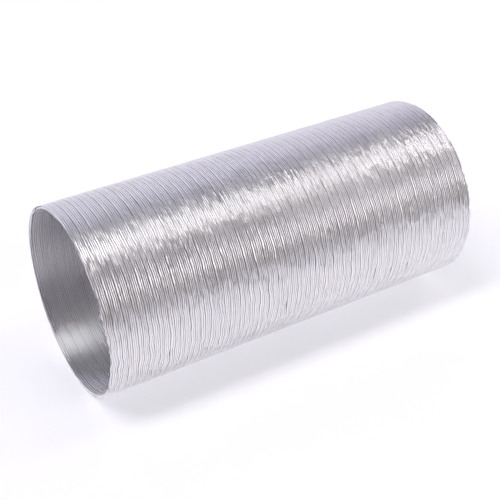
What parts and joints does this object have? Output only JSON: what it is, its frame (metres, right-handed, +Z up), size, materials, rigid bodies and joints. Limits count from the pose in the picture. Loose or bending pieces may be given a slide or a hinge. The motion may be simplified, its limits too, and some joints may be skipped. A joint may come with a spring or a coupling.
{
  "type": "flexible air duct",
  "caption": "Semi-rigid corrugated aluminium air duct with open ends, wound from lock-seamed strip, that stretches and bends by hand and keeps its shape.",
  "frame": {"origin": "the centre of the near mouth, on the bore's axis, in the plane of the cut end", "axes": "+X along the bore from the near mouth to the far mouth, +Z up with the duct lying on its side, +Y completes the right-handed set and is the side that opens when the duct bends"},
  "size_m": [0.2768, 0.1294, 0.1294],
  "materials": {
    "aluminium_strip": "bright mill finish, corrugated"
  },
  "bodies": {
    "near_end_turn": {"near_end_turn": "aluminium_strip"},
    "turn_02": {"turn_02": "aluminium_strip"},
    "turn_03": {"turn_03": "aluminium_strip"},
    "turn_04": {"turn_04": "aluminium_strip"},
    "turn_05": {"turn_05": "aluminium_strip"},
    "turn_06": {"turn_06": "aluminium_strip"},
    "turn_07": {"turn_07": "aluminium_strip"},
    "turn_08": {"turn_08": "aluminium_strip"},
    "turn_09": {"turn_09": "aluminium_strip"},
    "turn_10": {"turn_10": "aluminium_strip"},
    "turn_11": {"turn_11": "aluminium_strip"},
    "turn_12": {"turn_12": "aluminium_strip"},
    "turn_13": {"turn_13": "aluminium_strip"},
    "turn_14": {"turn_14": "aluminium_strip"},
    "turn_15": {"turn_15": "aluminium_strip"},
    "turn_16": {"turn_16": "aluminium_strip"},
    "turn_17": {"turn_17": "aluminium_strip"},
    "turn_18": {"turn_18": "aluminium_strip"},
    "turn_19": {"turn_19": "aluminium_strip"},
    "turn_20": {"turn_20": "aluminium_strip"},
    "turn_21": {"turn_21": "aluminium_strip"},
    "turn_22": {"turn_22": "aluminium_strip"},
    "turn_23": {"turn_23": "aluminium_strip"},
    "turn_24": {"turn_24": "aluminium_strip"},
    "turn_25": {"turn_25": "aluminium_strip"},
    "turn_26": {"turn_26": "aluminium_strip"},
    "turn_27": {"turn_27": "aluminium_strip"},
    "turn_28": {"turn_28": "aluminium_strip"},
    "turn_29": {"turn_29": "aluminium_strip"},
    "turn_30": {"turn_30": "aluminium_strip"},
    "turn_31": {"turn_31": "aluminium_strip"},
    "turn_32": {"turn_32": "aluminium_strip"},
    "turn_33": {"turn_33": "aluminium_strip"},
    "turn_34": {"turn_34": "aluminium_strip"},
    "turn_35": {"turn_35": "aluminium_strip"},
    "turn_36": {"turn_36": "aluminium_strip"},
    "turn_37": {"turn_37": "aluminium_strip"},
    "turn_38": {"turn_38": "aluminium_strip"},
    "far_end_turn": {"far_end_turn": "aluminium_strip"}
  },
  "joints": [
    {"name": "stretch_01", "type": "slide", "parent": "near_end_turn", "child": "turn_02", "axis": [1, 0, 0], "range_m": [0, 0.038]},
    {"name": "bend_01", "type": "hinge", "parent": "turn_02", "child": "turn_03", "pos_m": [0.0142, -0.0647, 0], "axis": [0, 0, -1], "range_deg": [0, 9.5]},
    {"name": "stretch_02", "type": "slide", "parent": "turn_03", "child": "turn_04", "axis": [1, 0, 0], "range_m": [0, 0.038]},
    {"name": "bend_02", "type": "hinge", "parent": "turn_04", "child": "turn_05", "pos_m": [0.0284, -0.0647, 0], "axis": [0, 0, -1], "range_deg": [0, 9.5]},
    {"name": "stretch_03", "type": "slide", "parent": "turn_05", "child": "turn_06", "axis": [1, 0, 0], "range_m": [0, 0.038]},
    {"name": "bend_03", "type": "hinge", "parent": "turn_06", "child": "turn_07", "pos_m": [0.0426, -0.0647, 0], "axis": [0, 0, -1], "range_deg": [0, 9.5]},
    {"name": "stretch_04", "type": "slide", "parent": "turn_07", "child": "turn_08", "axis": [1, 0, 0], "range_m": [0, 0.038]},
    {"name": "bend_04", "type": "hinge", "parent": "turn_08", "child": "turn_09", "pos_m": [0.0568, -0.0647, 0], "axis": [0, 0, -1], "range_deg": [0, 9.5]},
    {"name": "stretch_05", "type": "slide", "parent": "turn_09", "child": "turn_10", "axis": [1, 0, 0], "range_m": [0, 0.038]},
    {"name": "bend_05", "type": "hinge", "parent": "turn_10", "child": "turn_11", "pos_m": [0.071, -0.0647, 0], "axis": [0, 0, -1], "range_deg": [0, 9.5]},
    {"name": "stretch_06", "type": "slide", "parent": "turn_11", "child": "turn_12", "axis": [1, 0, 0], "range_m": [0, 0.038]},
    {"name": "bend_06", "type": "hinge", "parent": "turn_12", "child": "turn_13", "pos_m": [0.0852, -0.0647, 0], "axis": [0, 0, -1], "range_deg": [0, 9.5]},
    {"name": "stretch_07", "type": "slide", "parent": "turn_13", "child": "turn_14", "axis": [1, 0, 0], "range_m": [0, 0.038]},
    {"name": "bend_07", "type": "hinge", "parent": "turn_14", "child": "turn_15", "pos_m": [0.0994, -0.0647, 0], "axis": [0, 0, -1], "range_deg": [0, 9.5]},
    {"name": "stretch_08", "type": "slide", "parent": "turn_15", "child": "turn_16", "axis": [1, 0, 0], "range_m": [0, 0.038]},
    {"name": "bend_08", "type": "hinge", "parent": "turn_16", "child": "turn_17", "pos_m": [0.1136, -0.0647, 0], "axis": [0, 0, -1], "range_deg": [0, 9.5]},
    {"name": "stretch_09", "type": "slide", "parent": "turn_17", "child": "turn_18", "axis": [1, 0, 0], "range_m": [0, 0.038]},
    {"name": "bend_09", "type": "hinge", "parent": "turn_18", "child": "turn_19", "pos_m": [0.1278, -0.0647, 0], "axis": [0, 0, -1], "range_deg": [0, 9.5]},
    {"name": "stretch_10", "type": "slide", "parent": "turn_19", "child": "turn_20", "axis": [1, 0, 0], "range_m": [0, 0.038]},
    {"name": "bend_10", "type": "hinge", "parent": "turn_20", "child": "turn_21", "pos_m": [0.142, -0.0647, 0], "axis": [0, 0, -1], "range_deg": [0, 9.5]},
    {"name": "stretch_11", "type": "slide", "parent": "turn_21", "child": "turn_22", "axis": [1, 0, 0], "range_m": [0, 0.038]},
    {"name": "bend_11", "type": "hinge", "parent": "turn_22", "child": "turn_23", "pos_m": [0.1562, -0.0647, 0], "axis": [0, 0, -1], "range_deg": [0, 9.5]},
    {"name": "stretch_12", "type": "slide", "parent": "turn_23", "child": "turn_24", "axis": [1, 0, 0], "range_m": [0, 0.038]},
    {"name": "bend_12", "type": "hinge", "parent": "turn_24", "child": "turn_25", "pos_m": [0.1704, -0.0647, 0], "axis": [0, 0, -1], "range_deg": [0, 9.5]},
    {"name": "stretch_13", "type": "slide", "parent": "turn_25", "child": "turn_26", "axis": [1, 0, 0], "range_m": [0, 0.038]},
    {"name": "bend_13", "type": "hinge", "parent": "turn_26", "child": "turn_27", "pos_m": [0.1846, -0.0647, 0], "axis": [0, 0, -1], "range_deg": [0, 9.5]},
    {"name": "stretch_14", "type": "slide", "parent": "turn_27", "child": "turn_28", "axis": [1, 0, 0], "range_m": [0, 0.038]},
    {"name": "bend_14", "type": "hinge", "parent": "turn_28", "child": "turn_29", "pos_m": [0.1988, -0.0647, 0], "axis": [0, 0, -1], "range_deg": [0, 9.5]},
    {"name": "stretch_15", "type": "slide", "parent": "turn_29", "child": "turn_30", "axis": [1, 0, 0], "range_m": [0, 0.038]},
    {"name": "bend_15", "type": "hinge", "parent": "turn_30", "child": "turn_31", "pos_m": [0.213, -0.0647, 0], "axis": [0, 0, -1], "range_deg": [0, 9.5]},
    {"name": "stretch_16", "type": "slide", "parent": "turn_31", "child": "turn_32", "axis": [1, 0, 0], "range_m": [0, 0.038]},
    {"name": "bend_16", "type": "hinge", "parent": "turn_32", "child": "turn_33", "pos_m": [0.2272, -0.0647, 0], "axis": [0, 0, -1], "range_deg": [0, 9.5]},
    {"name": "stretch_17", "type": "slide", "parent": "turn_33", "child": "turn_34", "axis": [1, 0, 0], "range_m": [0, 0.038]},
    {"name": "bend_17", "type": "hinge", "parent": "turn_34", "child": "turn_35", "pos_m": [0.2414, -0.0647, 0], "axis": [0, 0, -1], "range_deg": [0, 9.5]},
    {"name": "stretch_18", "type": "slide", "parent": "turn_35", "child": "turn_36", "axis": [1, 0, 0], "range_m": [0, 0.038]},
    {"name": "bend_18", "type": "hinge", "parent": "turn_36", "child": "turn_37", "pos_m": [0.2556, -0.0647, 0], "axis": [0, 0, -1], "range_deg": [0, 9.5]},
    {"name": "stretch_19", "type": "slide", "parent": "turn_37", "child": "turn_38", "axis": [1, 0, 0], "range_m": [0, 0.038]},
    {"name": "bend_19", "type": "hinge", "parent": "turn_38", "child": "far_end_turn", "pos_m": [0.2698, -0.0647, 0], "axis": [0, 0, -1], "range_deg": [0, 9.5]}
  ],
  "couplings": [
    {"joint": "stretch_02", "follows": "stretch_01", "ratio": 1},
    {"joint": "bend_02", "follows": "bend_01", "ratio": 1},
    {"joint": "stretch_03", "follows": "stretch_01", "ratio": 1},
    {"joint": "bend_03", "follows": "bend_01", "ratio": 1},
    {"joint": "stretch_04", "follows": "stretch_01", "ratio": 1},
    {"joint": "bend_04", "follows": "bend_01", "ratio": 1},
    {"joint": "stretch_05", "follows": "stretch_01", "ratio": 1},
    {"joint": "bend_05", "follows": "bend_01", "ratio": 1},
    {"joint": "stretch_06", "follows": "stretch_01", "ratio": 1},
    {"joint": "bend_06", "follows": "bend_01", "ratio": 1},
    {"joint": "stretch_07", "follows": "stretch_01", "ratio": 1},
    {"joint": "bend_07", "follows": "bend_01", "ratio": 1},
    {"joint": "stretch_08", "follows": "stretch_01", "ratio": 1},
    {"joint": "bend_08", "follows": "bend_01", "ratio": 1},
    {"joint": "stretch_09", "follows": "stretch_01", "ratio": 1},
    {"joint": "bend_09", "follows": "bend_01", "ratio": 1},
    {"joint": "stretch_10", "follows": "stretch_01", "ratio": 1},
    {"joint": "bend_10", "follows": "bend_01", "ratio": 1},
    {"joint": "stretch_11", "follows": "stretch_01", "ratio": 1},
    {"joint": "bend_11", "follows": "bend_01", "ratio": 1},
    {"joint": "stretch_12", "follows": "stretch_01", "ratio": 1},
    {"joint": "bend_12", "follows": "bend_01", "ratio": 1},
    {"joint": "stretch_13", "follows": "stretch_01", "ratio": 1},
    {"joint": "bend_13", "follows": "bend_01", "ratio": 1},
    {"joint": "stretch_14", "follows": "stretch_01", "ratio": 1},
    {"joint": "bend_14", "follows": "bend_01", "ratio": 1},
    {"joint": "stretch_15", "follows": "stretch_01", "ratio": 1},
    {"joint": "bend_15", "follows": "bend_01", "ratio": 1},
    {"joint": "stretch_16", "follows": "stretch_01", "ratio": 1},
    {"joint": "bend_16", "follows": "bend_01", "ratio": 1},
    {"joint": "stretch_17", "follows": "stretch_01", "ratio": 1},
    {"joint": "bend_17", "follows": "bend_01", "ratio": 1},
    {"joint": "stretch_18", "follows": "stretch_01", "ratio": 1},
    {"joint": "bend_18", "follows": "bend_01", "ratio": 1},
    {"joint": "stretch_19", "follows": "stretch_01", "ratio": 1},
    {"joint": "bend_19", "follows": "bend_01", "ratio": 1}
  ]
}
